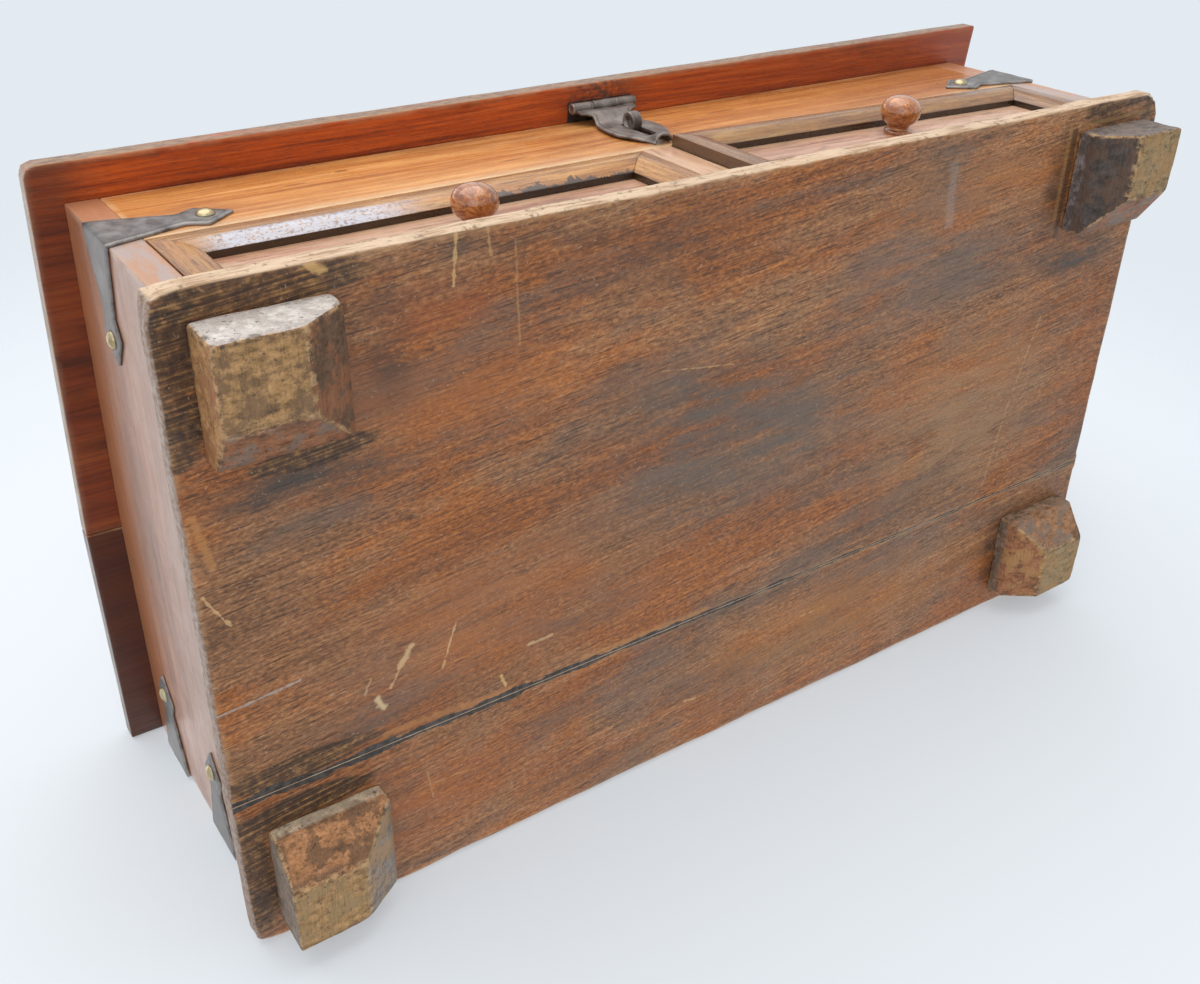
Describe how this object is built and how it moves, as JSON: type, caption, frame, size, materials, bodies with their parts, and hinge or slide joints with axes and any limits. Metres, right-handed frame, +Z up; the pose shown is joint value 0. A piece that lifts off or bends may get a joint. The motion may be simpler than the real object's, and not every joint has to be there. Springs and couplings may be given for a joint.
{
  "type": "stationery box",
  "caption": "Wooden stationery box on block feet with a sloped hinged lid, framed drawers with turned knobs, iron corner straps and a hasp closure.",
  "frame": {"origin": "on the floor under the middle of the box", "axes": "+X to the right along the front, +Y from the drawers to the back, +Z up"},
  "size_m": [0.51, 0.2952, 0.1808],
  "materials": {
    "foot_wood": "worn satin",
    "base_wood": "worn satin",
    "side_wood": "satin",
    "rail_wood": "satin",
    "lid_wood": "polished",
    "moulding_wood": "satin",
    "panel_wood": "satin",
    "inner_wood": "plain",
    "knob_wood": "polished",
    "strap_iron": "worn satin",
    "hinge_iron": "worn satin",
    "hasp_iron": "worn satin",
    "nail_brass": "worn polished"
  },
  "bodies": {
    "case": {"foot_front_left": "foot_wood", "foot_front_right": "foot_wood", "foot_back_left": "foot_wood", "foot_back_right": "foot_wood", "base_front_plank": "base_wood", "base_rear_plank": "base_wood", "side_left": "side_wood", "side_right": "side_wood", "front_rail": "rail_wood", "back_board": "side_wood", "dust_board": "inner_wood", "muntin": "side_wood", "drawer_divider": "inner_wood", "rear_board": "lid_wood", "hinge_left_rear_leaf": "hinge_iron", "hinge_left_pin": "hinge_iron", "hinge_right_rear_leaf": "hinge_iron", "hinge_right_pin": "hinge_iron", "staple": "hasp_iron", "strap_front_left": "strap_iron", "strap_front_right": "strap_iron", "strap_back_left_upper": "strap_iron", "strap_back_left_lower": "strap_iron", "strap_back_right_upper": "strap_iron", "strap_back_right_lower": "strap_iron", "strap_nails": "nail_brass"},
    "lid": {"lid": "lid_wood", "hinge_left_lid_leaf": "hinge_iron", "hinge_right_lid_leaf": "hinge_iron", "hasp_lid_plate": "hasp_iron", "hasp_pin": "hasp_iron"},
    "hasp": {"hasp_leaf": "hasp_iron"},
    "drawer_left": {"drawer_left_frame_bottom": "moulding_wood", "drawer_left_frame_right": "moulding_wood", "drawer_left_frame_top": "moulding_wood", "drawer_left_frame_left": "moulding_wood", "drawer_left_panel": "panel_wood", "drawer_left_side_left": "inner_wood", "drawer_left_side_right": "inner_wood", "drawer_left_back": "inner_wood", "drawer_left_floor": "inner_wood", "knob_left": "knob_wood"},
    "drawer_right": {"drawer_right_frame_bottom": "moulding_wood", "drawer_right_frame_right": "moulding_wood", "drawer_right_frame_top": "moulding_wood", "drawer_right_frame_left": "moulding_wood", "drawer_right_panel": "panel_wood", "drawer_right_side_left": "inner_wood", "drawer_right_side_right": "inner_wood", "drawer_right_back": "inner_wood", "drawer_right_floor": "inner_wood", "knob_right": "knob_wood"}
  },
  "joints": [
    {"name": "lid_hinge", "type": "hinge", "parent": "case", "child": "lid", "pos_m": [0, 0.02385, 0.178], "axis": [-1, 0, 0], "range_deg": [0, 106]},
    {"name": "hasp_hinge", "type": "hinge", "parent": "lid", "child": "hasp", "pos_m": [0.002, -0.13605, 0.14606], "axis": [-1, 0, 0], "range_deg": [0, 80]},
    {"name": "drawer_left_slide", "type": "slide", "parent": "case", "child": "drawer_left", "axis": [0, -1, 0], "range_m": [0, 0.15]},
    {"name": "drawer_right_slide", "type": "slide", "parent": "case", "child": "drawer_right", "axis": [0, -1, 0], "range_m": [0, 0.15]}
  ]
}
